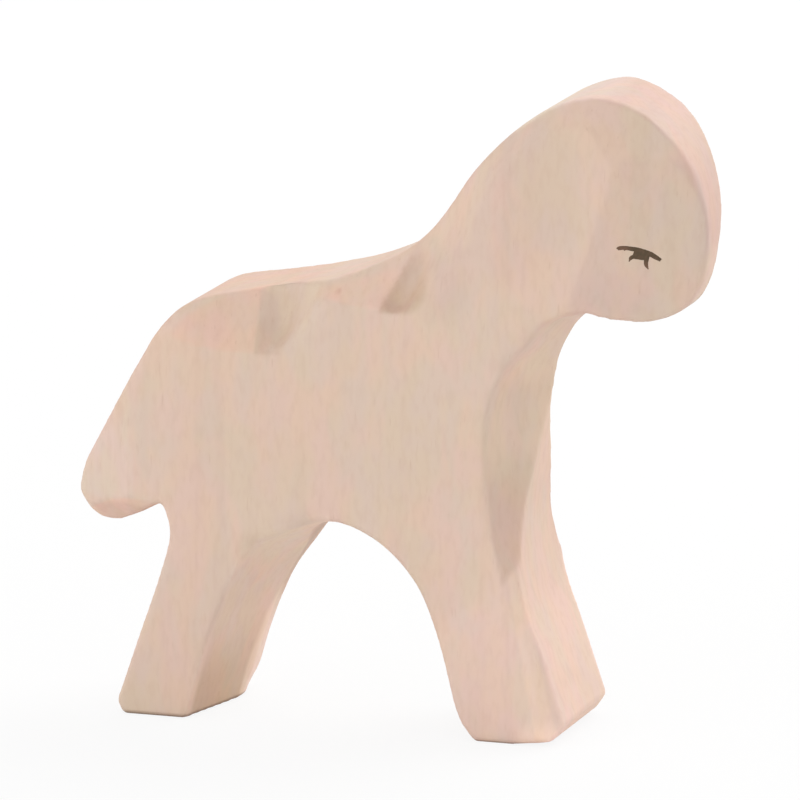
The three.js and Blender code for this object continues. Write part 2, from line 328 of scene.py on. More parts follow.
@dataclass(frozen=True)
class Maple:
    """Bare, finely sanded maple with its grain upright."""

    wood: Triple = (0.863, 0.763, 0.688)
    pink: Triple = (0.885, 0.757, 0.690)
    moss: Triple = (0.842, 0.768, 0.694)
    straw: Triple = (0.866, 0.768, 0.667)
    lilac: Triple = (0.858, 0.757, 0.709)
    fleck: Triple = (0.76, 0.62, 0.53)
    wood_share: float = 0.2
    wash_share: float = 0.4
    patches: Clouds = Clouds(count=(230.0, 230.0, 110.0), bend=0.5)
    washes: Clouds = Clouds(count=(420.0, 420.0, 190.0))
    bands: Clouds = Clouds(count=(620.0, 90.0, 30.0), bend=0.3)
    streaks: Clouds = Clouds(count=(1620.0, 1620.0, 560.0))
    flecks: Clouds = Clouds(count=(3000.0, 3000.0, 420.0), detail=1.0)
    patch_fade: Fade = Fade(low=0.36, high=0.64)
    band_fade: Fade = Fade(low=0.45, high=0.75, strength=0.10)
    streak_fade: Fade = Fade(low=0.42, high=0.72, strength=0.12)
    fleck_fade: Fade = Fade(low=0.66, high=0.82, strength=0.24)
    groove_fade: Fade = Fade(low=0.45, high=0.8, strength=-1.0)
    groove_depth: float = 0.04 * MM
    groove_share: float = 0.15
    roughness: float = 0.62
    dull_fade: Fade = Fade(low=0.4, high=0.8, strength=0.06)
    gloss: float = 0.3

    def material(self) -> bpy.types.Material:
        """Builds the wood's material.

        Returns:
            The material, which is multiplied by the tint that the mesh keeps: real stains, and painted light
            and shade.
        """
        shader = Shader("maple")
        fleck = linear(self.fleck)
        streaks = shader.noise(self.streaks)
        patches = shader.noise(self.patches).fade(self.patch_fade)
        washes = shader.noise(self.washes).fade(self.patch_fade)
        colour = shader.mix(patches, linear(self.moss), linear(self.pink))
        colour = shader.mix(self.wood_share, colour, linear(self.wood))
        wash = shader.mix(washes, linear(self.straw), linear(self.lilac))
        colour = shader.mix(self.wash_share, colour, wash)
        colour = shader.mix(shader.noise(self.bands).fade(self.band_fade), colour, fleck)
        colour = shader.mix(streaks.fade(self.streak_fade), colour, fleck)
        colour = shader.mix(shader.noise(self.flecks).fade(self.fleck_fade), colour, fleck)
        # the mesh's tint, with its painted light and shade, multiplies the wood
        colour = shader.mix(1.0, colour, shader.tint(TINT), "MULTIPLY")
        grooves = {
            "Height": streaks.fade(self.groove_fade),
            "Strength": self.groove_share,
            "Distance": self.groove_depth,
        }
        values = {
            "Base Color": colour,
            "Roughness": streaks.fade(self.dull_fade) + self.roughness,
            "Normal": shader.node("ShaderNodeBump", None, grooves),
            "Specular IOR Level": self.gloss,
        }
        return shader.close(shader.node("ShaderNodeBsdfPrincipled", None, values))


@dataclass(frozen=True)
class EyePaint:
    """Thin dark brown paint, brushed on bare wood: redder where the brush ran nearly dry."""

    full: Triple = (0.345, 0.285, 0.215)
    dry: Triple = (0.46, 0.345, 0.275)
    roughness: float = 0.7
    gloss: float = 0.25
    dry_behind: float = 25.5 * MM
    dry_below: float = 49.15 * MM
    blend: float = 0.35 * MM
    dry_share: float = 0.6
    wash: Clouds = Clouds(count=(2500.0, 2500.0, 2500.0))
    wash_fade: Fade = Fade(low=0.35, high=0.7, strength=0.3)

    def past(self, limit: float) -> Fade:
        """Gives the soft step at a limit."""
        return Fade(limit - self.blend, limit + self.blend)

    def material(self) -> bpy.types.Material:
        """Builds the paint's material.

        Returns:
            The material.
        """
        shader = Shader("eye_paint")
        point = shader.point()
        along = shader.node("ShaderNodeSeparateXYZ", None, {0: point}, "X")
        height = shader.node("ShaderNodeSeparateXYZ", None, {0: point}, "Z")
        rear = 1.0 - along.fade(self.past(self.dry_behind))
        low = 1.0 - height.fade(self.past(self.dry_below))
        dryness = (rear + low) * self.dry_share + shader.noise(self.wash).fade(self.wash_fade)
        colour = shader.mix(dryness, linear(self.full), linear(self.dry))
        values = {"Base Color": colour, "Roughness": self.roughness, "Specular IOR Level": self.gloss}
        return shader.close(shader.node("ShaderNodeBsdfPrincipled", None, values))


@dataclass(frozen=True)
class Scoop:
    """A scooping cut of the knife: steep along a crisp ridge, and shallow where it runs out in front.

    Places are [x, z] on the side of the lamb, in millimetres. Each row of reach gives a height above
    the ridge's low end and how far forward of the ridge the cut goes there. The wall is the height
    over which the cut starts and ends. A bowl is deepest at two fifths of its reach, where its scale
    brings it to about 1, and its power draws it out in front.
    """

    low: Place
    high: Place
    reach: tuple[tuple[float, float], ...]
    depth: float
    wall: float = 0.5
    least_reach: float = 0.01
    bowl_scale: float = 5.4
    bowl_power: float = 1.5

    def depth_at(self, x: np.ndarray, z: np.ndarray) -> np.ndarray:
        """Gives the depth of the cut at each place.

        Args:
            x: The places' distances along the lamb, in millimetres.
            z: Their heights.

        Returns:
            How much the knife takes off there, in millimetres.
        """
        up = z - self.low[1]
        out = x - self.low[0] - up * (self.high[0] - self.low[0]) / (self.high[1] - self.low[1])
        heights, reaches = np.array(self.reach).T
        reach = np.maximum(np.interp(up, heights, reaches), self.least_reach)
        share = np.clip(out / reach, 0.0, 1.0)
        bowl = self.bowl_scale * share * (1 - share) ** self.bowl_power
        start = np.clip((up - heights[0]) / self.wall, 0.0, 1.0)
        end = np.clip((heights[-1] - up) / self.wall, 0.0, 1.0)
        return self.depth * bowl * start * end


LOIN_SCOOP = Scoop(
    low=(-12.83, 37.7),
    high=(-12.83, 43.3),
    reach=((0.0, 3.0), (3.0, 4.2), (9.0, 5.0)),
    depth=0.3,
)
WITHERS_SCOOP = Scoop(
    low=(0.0, 42.8),
    high=(2.5, 48.1),
    reach=((0.0, 3.4), (0.8, 4.0), (1.8, 4.3), (3.4, 3.8), (5.0, 2.8), (6.0, 1.8)),
    depth=0.34,
    wall=1.2,
)


@dataclass(frozen=True)
class Wear:
    """A stretch of ridge that handling has rounded further, as a disc on one side or on both."""

    centre: Place
    radius: float
    sides: tuple[Side, ...] = (Side.RIGHT, Side.LEFT)

    def weight_at(self, x: np.ndarray, y: np.ndarray, z: np.ndarray) -> np.ndarray:
        """Gives how worn each place is.

        Args:
            x: The places' distances along the lamb, in millimetres.
            y: Their distances across it.
            z: Their heights.

        Returns:
            Weights from 0 to 1.
        """
        away = np.hypot(x - self.centre[0], z - self.centre[1]) / self.radius
        there = sum(np.clip(y * side.value + 0.5, 0.0, 1.0) for side in self.sides)
        return np.clip(1 - away**2, 0.0, 1.0) ** 2 * there


WEAR = (
    Wear(centre=(-8.0, 20.9), radius=5.5, sides=(Side.RIGHT,)),
    Wear(centre=(-13.2, 18.6), radius=3.5, sides=(Side.RIGHT,)),
    Wear(centre=(15.8, 40.4), radius=4.5),
    Wear(centre=(-8.0, 41.0), radius=3.2),
    Wear(centre=(5.2, 46.2), radius=2.6),
    Wear(centre=(20.2, 43.4), radius=1.8),
)


@dataclass(frozen=True)
class StainOrPaintedLight:
    """A patch of the wood whose colour differs a little: a real stain, or painted light or shade.

    The patch is a convex outline on the side of the lamb. Its corners are [x, z] in millimetres, clockwise
    as seen from the lamb's right. Each stretch to the next corner has its own softness, also in
    millimetres. The patch lies on the faces that look one of its ways, between two distances across the
    lamb.
    """

    tint: Triple
    corners: tuple[Place, ...]
    soft: tuple[float, ...]
    faces: tuple[Facing, ...] = SIDES
    across: tuple[float, float] = (-9.0, 9.0)
    across_soft: float = 0.5

    def weight_at(self, points: np.ndarray, facing: np.ndarray) -> np.ndarray:
        """Gives how strongly the stain or painted light shows at each place.

        Args:
            points: The places, in millimetres.
            facing: The Y part of the surface's direction there.

        Returns:
            Weights from 0 to 1.
        """
        x, y, z = points.T
        weight = np.max([face.weight_of(facing) for face in self.faces], axis=0)
        weight = weight * np.clip((y - self.across[0]) / self.across_soft, 0.0, 1.0)
        weight = weight * np.clip((self.across[1] - y) / self.across_soft, 0.0, 1.0)
        ends = self.corners[1:] + self.corners[:1]
        for (start_x, start_z), (end_x, end_z), soft in zip(self.corners, ends, self.soft):
            length = math.hypot(end_x - start_x, end_z - start_z)
            inside = ((z - start_z) * (start_x - end_x) - (x - start_x) * (start_z - end_z)) / length
            share = np.clip(inside / soft + 0.5, 0.0, 1.0)
            weight = weight * share * share * (3 - 2 * share)
        return weight


# Back: painted light on facets, painted shade in the two scoops, and a real streak and knot fleck.
BACK_STAINS_AND_PAINTED_LIGHT = (
    StainOrPaintedLight(  # facet of the rump, lighter and pinker: painted light
        tint=(1.03, 0.96, 0.945),
        corners=(
            (-21.7, 39.2), (-20.2, 41.2), (-17.4, 42.9), (-12.9, 44.2), (-12.83, 38.0), (-16.2, 38.0),
            (-19.7, 38.4),
        ),
        soft=(1.0, 0.6, 0.6, 0.3, 0.5, 0.5, 0.8),
    ),
    StainOrPaintedLight(  # top of the rump, a little darker and pinker: painted shade
        tint=(0.985, 0.945, 0.93),
        corners=((-24.0, 38.0), (-24.0, 47.0), (-8.0, 47.0), (-8.0, 38.0)),
        soft=(1.0, 1.0, 6.0, 1.0),
        faces=(Facing.EDGE,),
    ),
    StainOrPaintedLight(  # scoop of the loin, a little darker: painted shade in the hollow
        tint=(0.975, 0.965, 0.96),
        corners=((-12.83, 37.8), (-12.83, 43.8), (-7.9, 43.9), (-8.3, 41.0), (-9.8, 38.0)),
        soft=(0.25, 0.8, 4.0, 3.0, 0.5),
    ),
    StainOrPaintedLight(  # bottom of that scoop, darker: painted shade
        tint=(0.95, 0.94, 0.92),
        corners=((-12.83, 37.8), (-12.83, 41.0), (-9.2, 40.5), (-10.0, 38.0)),
        soft=(0.25, 2.0, 1.0, 0.5),
    ),
    StainOrPaintedLight(  # facet behind the withers, lighter: painted light
        tint=(1.06, 0.995, 0.985),
        corners=((-5.5, 43.6), (-4.5, 45.3), (-0.5, 46.7), (1.9, 46.9), (0.1, 42.9), (-2.7, 43.4)),
        soft=(1.5, 1.2, 1.6, 1.2, 0.5, 0.5),
    ),
    StainOrPaintedLight(  # ruddy streak in that facet
        tint=(1.02, 0.97, 0.94),
        corners=((-6.8, 43.8), (-6.4, 45.0), (-4.2, 45.2), (-4.0, 43.9)),
        soft=(0.8, 0.8, 0.8, 0.8),
    ),
    StainOrPaintedLight(  # knot fleck in that streak
        tint=(0.88, 0.79, 0.76),
        corners=((-4.5, 44.5), (-4.3, 44.95), (-3.95, 44.8), (-4.1, 44.35)),
        soft=(0.4, 0.4, 0.4, 0.4),
    ),
    StainOrPaintedLight(  # scoop of the withers, darker: painted shade in the hollow
        tint=(0.93, 0.93, 0.905),
        corners=((0.1, 42.9), (2.3, 47.6), (3.6, 48.1), (4.7, 46.9), (5.2, 45.4), (4.7, 44.0), (3.4, 42.95)),
        soft=(0.25, 2.4, 2.0, 2.0, 1.0, 0.8, 0.3),
    ),
    StainOrPaintedLight(  # bottom of that scoop, darker: painted shade
        tint=(0.975, 0.955, 0.925),
        corners=((0.5, 43.0), (1.5, 45.6), (4.9, 45.1), (4.5, 44.0), (3.3, 43.0)),
        soft=(0.5, 1.8, 0.8, 0.7, 0.4),
    ),
    StainOrPaintedLight(  # far wall of that scoop, darker: painted shade
        tint=(0.95, 0.95, 0.935),
        corners=((2.9, 43.0), (3.6, 46.4), (4.9, 46.2), (5.1, 44.6), (4.0, 43.1)),
        soft=(1.2, 1.4, 0.8, 0.8, 0.4),
    ),
    StainOrPaintedLight(  # corner of that scoop, darker and redder: painted shade in the corner
        tint=(0.98, 0.94, 0.92),
        corners=((0.15, 43.0), (0.6, 43.9), (0.9, 43.5), (0.7, 43.0)),
        soft=(0.25, 0.5, 0.5, 0.25),
    ),
    StainOrPaintedLight(  # wood that the scoop fades into, a little darker: painted shade fading out of the scoop
        tint=(0.955, 0.97, 0.98),
        corners=((3.0, 48.5), (3.4, 50.0), (5.2, 50.6), (7.0, 48.8), (6.2, 46.4), (4.7, 46.6)),
        soft=(0.8, 1.0, 2.0, 2.5, 2.0, 1.4),
    ),
)

# Tail: painted light and painted shade on its facets.
TAIL_PAINTED_LIGHT = (
    StainOrPaintedLight(  # underside of the tail, lighter: painted light
        tint=(1.07, 0.99, 0.97),
        corners=(
            (-32.5, 19.5), (-30.3, 20.9), (-28.6, 21.7), (-26.2, 22.2), (-23.3, 21.8), (-22.5, 18.0),
            (-32.5, 17.5),
        ),
        soft=(0.3, 0.3, 0.3, 0.3, 0.3, 0.3, 0.3),
    ),
    StainOrPaintedLight(  # fore part of that underside, darker: painted shade
        tint=(0.93, 0.91, 0.91),
        corners=((-26.6, 17.5), (-26.6, 22.4), (-23.3, 21.9), (-22.5, 18.0)),
        soft=(1.5, 0.3, 0.3, 0.3),
    ),
    StainOrPaintedLight(  # end of the tail, lighter and bluer: painted light
        tint=(1.0, 1.03, 1.06),
        corners=((-32.5, 22.0), (-31.0, 27.0), (-27.0, 30.5), (-25.8, 27.5), (-25.8, 22.2), (-29.0, 21.8)),
        soft=(0.6, 1.5, 2.0, 0.4, 0.4, 0.4),
    ),
)

# Chest: painted light and painted shade.
CHEST_PAINTED_LIGHT = (
    StainOrPaintedLight(  # leaf-shaped facet of the chest, a little lighter: painted light
        tint=(0.99, 1.04, 1.01),
        corners=(
            (13.1, 16.0), (11.9, 21.0), (11.2, 25.4), (11.0, 29.5), (11.5, 35.0), (13.4, 38.5),
            (17.5, 41.5), (16.5, 30.0), (14.6, 18.5),
        ),
        soft=(0.35, 0.3, 0.3, 0.3, 2.5, 3.0, 0.5, 0.5, 0.6),
    ),
    StainOrPaintedLight(  # tip of the leaf, darker: painted shade
        tint=(0.90, 0.84, 0.85),
        corners=((13.1, 16.0), (11.9, 21.0), (11.2, 27.0), (15.5, 27.0), (14.6, 18.5)),
        soft=(0.35, 0.3, 8.0, 0.5, 0.6),
    ),
    StainOrPaintedLight(  # throat, lighter: painted light
        tint=(1.08, 1.04, 1.04),
        corners=(
            (12.6, 36.0), (12.8, 37.5), (15.1, 40.2), (17.5, 42.3), (20.5, 43.8), (19.0, 40.0),
            (17.0, 36.0),
        ),
        soft=(1.0, 1.5, 1.5, 1.5, 0.5, 0.5, 3.0),
    ),
    StainOrPaintedLight(  # chest and shin, lighter on the board's edge: painted light
        tint=(1.06, 1.035, 1.06),
        corners=((10.0, -0.5), (10.0, 12.0), (20.0, 12.0), (22.0, -0.5)),
        soft=(0.5, 12.0, 1.0, 1.0),
        faces=(Facing.EDGE,),
    ),
)

# Head: painted light and painted shade.
HEAD_PAINTED_LIGHT = (
    StainOrPaintedLight(  # nape, darker: painted shade
        tint=(0.93, 0.94, 0.95),
        corners=((4.8, 43.0), (5.2, 49.0), (8.5, 50.5), (10.0, 46.0), (8.0, 42.5)),
        soft=(3.0, 3.0, 3.0, 3.0, 3.0),
    ),
    StainOrPaintedLight(  # side of the neck, lighter: painted light
        tint=(1.035, 1.022, 1.022),
        corners=((9.0, 47.0), (8.6, 50.5), (9.6, 56.5), (13.6, 57.0), (12.8, 50.0), (11.2, 47.0)),
        soft=(2.5, 2.5, 2.5, 2.5, 2.5, 2.5),
    ),
    StainOrPaintedLight(  # side of the crown, a little darker: painted shade
        tint=(0.97, 0.95, 0.955),
        corners=((7.0, 50.0), (12.0, 61.0), (18.5, 64.0), (21.0, 52.0), (13.0, 46.0)),
        soft=(3.0, 1.0, 4.0, 4.0, 4.0),
    ),
    StainOrPaintedLight(  # top of the crown, much lighter: painted highlight on the ridge
        tint=(1.1, 1.19, 1.21),
        corners=((13.0, 58.0), (15.0, 66.0), (22.0, 68.0), (23.0, 60.0)),
        soft=(3.0, 1.0, 5.0, 1.0),
        faces=(Facing.EDGE,),
    ),
    StainOrPaintedLight(  # forehead, darker: painted shade
        tint=(0.94, 0.9, 0.93),
        corners=((18.0, 50.0), (18.0, 67.0), (34.0, 67.0), (34.0, 50.0)),
        soft=(5.0, 1.0, 1.0, 3.0),
        faces=(Facing.EDGE,),
    ),
    StainOrPaintedLight(  # face, a little darker: painted shade
        tint=(0.965, 0.97, 0.975),
        corners=((18.8, 42.0), (25.0, 60.0), (31.5, 59.0), (33.5, 50.0), (30.0, 42.0)),
        soft=(1.0, 1.0, 0.5, 0.5, 0.5),
    ),
    StainOrPaintedLight(  # cheek, a little darker: painted shade
        tint=(0.985, 0.96, 0.985),
        corners=((19.5, 43.0), (21.5, 48.0), (26.0, 47.5), (27.0, 42.0)),
        soft=(2.0, 3.0, 3.0, 1.0),
    ),
)

# Belly and legs: painted light, painted shade and painted contact shadows along the soles.
LEG_PAINTED_LIGHT = (
    StainOrPaintedLight(  # belly and both legs, a little lighter: painted light
        tint=(1.025, 1.02, 1.03),
        corners=((-25.0, -0.5), (-25.0, 24.0), (20.0, 24.0), (20.0, -0.5)),
        soft=(2.0, 8.0, 2.0, 2.0),
    ),
    StainOrPaintedLight(  # hollow on the hind leg, much lighter: painted light in the hollow
        tint=(1.165, 1.21, 1.22),
        corners=(
            (-20.35, -0.5), (-20.35, 0.5), (-18.4, 7.4), (-16.0, 13.7), (-14.7, 17.0), (-11.9, 19.7),
            (-7.8, 21.2), (-5.0, 21.8), (-5.0, -0.5),
        ),
        soft=(0.5, 0.5, 0.5, 0.6, 1.2, 2.0, 2.0, 0.5, 0.5),
        faces=(Facing.RIGHT,),
    ),
    StainOrPaintedLight(  # upper end of the hollow, lighter: painted light
        tint=(1.04, 1.08, 1.07),
        corners=((-13.0, 15.0), (-12.6, 19.0), (-11.6, 19.7), (-7.6, 21.4), (-5.0, 22.0), (-5.0, 15.0)),
        soft=(3.0, 1.5, 2.0, 2.0, 0.5, 4.0),
        faces=(Facing.RIGHT,),
    ),
    StainOrPaintedLight(  # foot of the hollow, darker: painted shade
        tint=(0.78, 0.755, 0.68),
        corners=((-20.3, -0.5), (-19.3, 3.2), (-18.3, 6.5), (-13.0, 8.0), (-13.0, -0.5)),
        soft=(0.3, 0.3, 8.0, 0.5, 0.5),
        faces=(Facing.RIGHT,),
    ),
    StainOrPaintedLight(  # what the hollow left of the leg's front edge, much lighter: painted highlight
        tint=(1.26, 1.33, 1.42),
        corners=((-18.3, 0.4), (-17.3, 3.0), (-15.9, 7.7), (-14.4, 10.5), (-10.0, 10.5), (-12.0, 0.4)),
        soft=(0.4, 0.4, 0.4, 4.0, 0.4, 0.4),
        faces=ALL_ROUND,
        across=(1.5, 9.0),
    ),
    StainOrPaintedLight(  # sole of the hind foot, very dark: painted contact shadow
        tint=(0.5, 0.44, 0.4),
        corners=((-32.0, -1.0), (-32.0, 0.3), (-8.0, 0.3), (-8.0, -1.0)),
        soft=(0.3, 0.3, 0.3, 0.3),
        faces=ALL_ROUND,
    ),
    StainOrPaintedLight(  # front leg, a little lighter: painted light
        tint=(1.06, 1.05, 1.08),
        corners=((6.0, -0.5), (5.0, 10.0), (11.0, 16.0), (15.0, 16.0), (20.0, -0.5)),
        soft=(4.0, 4.0, 8.0, 4.0, 4.0),
    ),
    StainOrPaintedLight(  # band beside that leg's front edge, lighter: painted light on the rounded edge
        tint=(1.075, 1.06, 1.03),
        corners=(
            (16.5, 0.6), (15.0, 8.8), (13.4, 16.8), (14.2, 18.1), (15.7, 12.6), (18.2, 5.3),
            (19.4, 0.6),
        ),
        soft=(0.4, 0.4, 0.6, 0.4, 0.4, 0.4, 1.0),
    ),
    StainOrPaintedLight(  # toe of the front foot, lighter: painted light
        tint=(1.14, 1.14, 1.14),
        corners=((15.0, -0.5), (15.0, 2.0), (22.0, 2.0), (22.0, -0.5)),
        soft=(2.0, 2.5, 0.5, 0.5),
        faces=(Facing.RIGHT, Facing.EDGE),
    ),
    StainOrPaintedLight(  # sole of the front foot, very dark: painted contact shadow
        tint=(0.5, 0.44, 0.4),
        corners=((5.0, -1.0), (5.0, 0.22), (17.5, 0.22), (17.5, -1.0)),
        soft=(0.3, 0.3, 2.0, 0.3),
    ),
)

# Every patch: real stains, and painted light and shade.
STAINS_AND_PAINTED_LIGHT = BACK_STAINS_AND_PAINTED_LIGHT + TAIL_PAINTED_LIGHT + CHEST_PAINTED_LIGHT + HEAD_PAINTED_LIGHT + LEG_PAINTED_LIGHT


@dataclass
class CarvedBody:
    """The lamb's one piece of wood, with the hand's soft edges and hollows over the sawn shape.

    Each round of softening pulls every point towards the middle of its neighbours. A scoop is cut
    only where the surface looks to the side: not at all at the first value of scooped, the Y part of
    its direction, and in full at the second.
    """

    node: str = "lamb_body"
    voxel: float = 0.33 * MM
    merging: float = 0.001 * MM
    pull: float = 0.5
    sanding_rounds: int = 3
    wear_rounds: int = 40
    wear: tuple[Wear, ...] = WEAR
    scoops: tuple[Scoop, ...] = (LOIN_SCOOP, WITHERS_SCOOP)
    scooped: tuple[float, float] = (0.3, 0.7)
    # Real stains, and painted light and shade laid into the wood's colour.
    stains_and_painted_light: tuple[StainOrPaintedLight, ...] = STAINS_AND_PAINTED_LIGHT
    edge_tint: Triple = (0.985, 0.965, 0.975)

    def build(self) -> bpy.types.Object:
        """Carves the body.

        Returns:
            The body's object, at the origin.
        """
        mesh = self.sawn_block()
        self.soften(mesh)
        self.scoop_out(mesh)
        self.colour(mesh)
        return put_in_scene("carved_lamb", mesh)

    def sawn_block(self) -> bpy.types.Mesh:
        """Copies the sawn shape with small, even faces.

        Returns:
            The mesh.
        """
        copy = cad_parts[self.node].data.copy()
        copy.materials.clear()
        shell = bmesh.new()
        shell.from_mesh(copy)
        bmesh.ops.remove_doubles(shell, verts=shell.verts, dist=self.merging)
        shell.to_mesh(copy)
        shell.free()
        block = put_in_scene("block", copy)
        remesh = block.modifiers.new("even_faces", "REMESH")
        remesh.mode = "VOXEL"
        remesh.voxel_size = self.voxel
        return finished_mesh(block)

    @staticmethod
    def points_of(mesh: bpy.types.Mesh) -> np.ndarray:
        """Reads the mesh's points.

        Args:
            mesh: The mesh.

        Returns:
            One row for each point, in metres.
        """
        points = np.empty(len(mesh.vertices) * 3)
        mesh.vertices.foreach_get("co", points)
        return points.reshape(-1, 3)

    @staticmethod
    def facing_of(mesh: bpy.types.Mesh) -> np.ndarray:
        """Reads how far the surface looks to the left or the right.

        Args:
            mesh: The mesh.

        Returns:
            The Y part of the surface's direction at each point.
        """
        normals = np.empty(len(mesh.vertices) * 3, dtype=np.float32)
        mesh.vertex_normals.foreach_get("vector", normals)
        return normals.reshape(-1, 3)[:, 1]

    @staticmethod
    def move_points(mesh: bpy.types.Mesh, points: np.ndarray) -> None:
        """Puts the mesh's points in new places.

        Args:
            mesh: The mesh.
            points: The new places, one row each, in metres.
        """
        mesh.vertices.foreach_set("co", points.ravel())
        mesh.update()

    def soften(self, mesh: bpy.types.Mesh) -> None:
        """Rounds every ridge a little, as sanding does, and then the worn ones further.

        Args:
            mesh: The mesh whose points are moved.
        """
        points = self.points_of(mesh)
        pairs = np.empty(len(mesh.edges) * 2, dtype=np.int64)
        mesh.edges.foreach_get("vertices", pairs)
        start, end = pairs.reshape(-1, 2).T
        count = np.bincount(pairs, minlength=len(points))[:, None]
        worn = np.max([wear.weight_at(*points.T / MM) for wear in self.wear], axis=0)[:, None]
        everywhere = np.ones_like(worn)
        for weight in [everywhere] * self.sanding_rounds + [worn] * self.wear_rounds:
            total = np.zeros_like(points)
            for axis in range(3):
                total[:, axis] = np.bincount(start, points[end, axis], len(points))
                total[:, axis] += np.bincount(end, points[start, axis], len(points))
            points += self.pull * weight * (total / count - points)
        self.move_points(mesh, points)

    def scoop_out(self, mesh: bpy.types.Mesh) -> None:
        """Takes the scooping cuts off both sides.

        Args:
            mesh: The mesh whose points are moved.
        """
        points = self.points_of(mesh)
        none, full = self.scooped
        weight = np.clip((np.abs(self.facing_of(mesh)) - none) / (full - none), 0.0, 1.0)
        depth = sum(scoop.depth_at(points[:, 0] / MM, points[:, 2] / MM) for scoop in self.scoops)
        points[:, 1] -= np.sign(points[:, 1]) * depth * weight * MM
        self.move_points(mesh, points)

    def colour(self, mesh: bpy.types.Mesh) -> None:
        """Keeps at each point how the wood's colour differs there, from real stains and from painted light
        and shade.

        Args:
            mesh: The mesh that gets the tint.
        """
        points = self.points_of(mesh) / MM
        facing = self.facing_of(mesh)
        weights = [(stain_or_light.tint, stain_or_light.weight_at(points, facing)) for stain_or_light in self.stains_and_painted_light]
        weights.append((self.edge_tint, Facing.EDGE.weight_of(facing)))
        colours = np.ones((len(points), 4), dtype=np.float32)
        for tint, weight in weights:
            colours[:, :3] *= 1 + (np.array(tint) - 1) * weight[:, None]
        layer = mesh.color_attributes.new(TINT, "FLOAT_COLOR", "POINT")
        layer.data.foreach_set("color", colours.ravel())

    def dress(self, body: bpy.types.Object, wood: bpy.types.Material) -> None:
        """Gives the body its wood and its place in the frame.

        Args:
            body: The carved object.
            wood: The wood.
        """
        body.data.materials.append(wood)
        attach(body, "root")
        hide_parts(self.node)


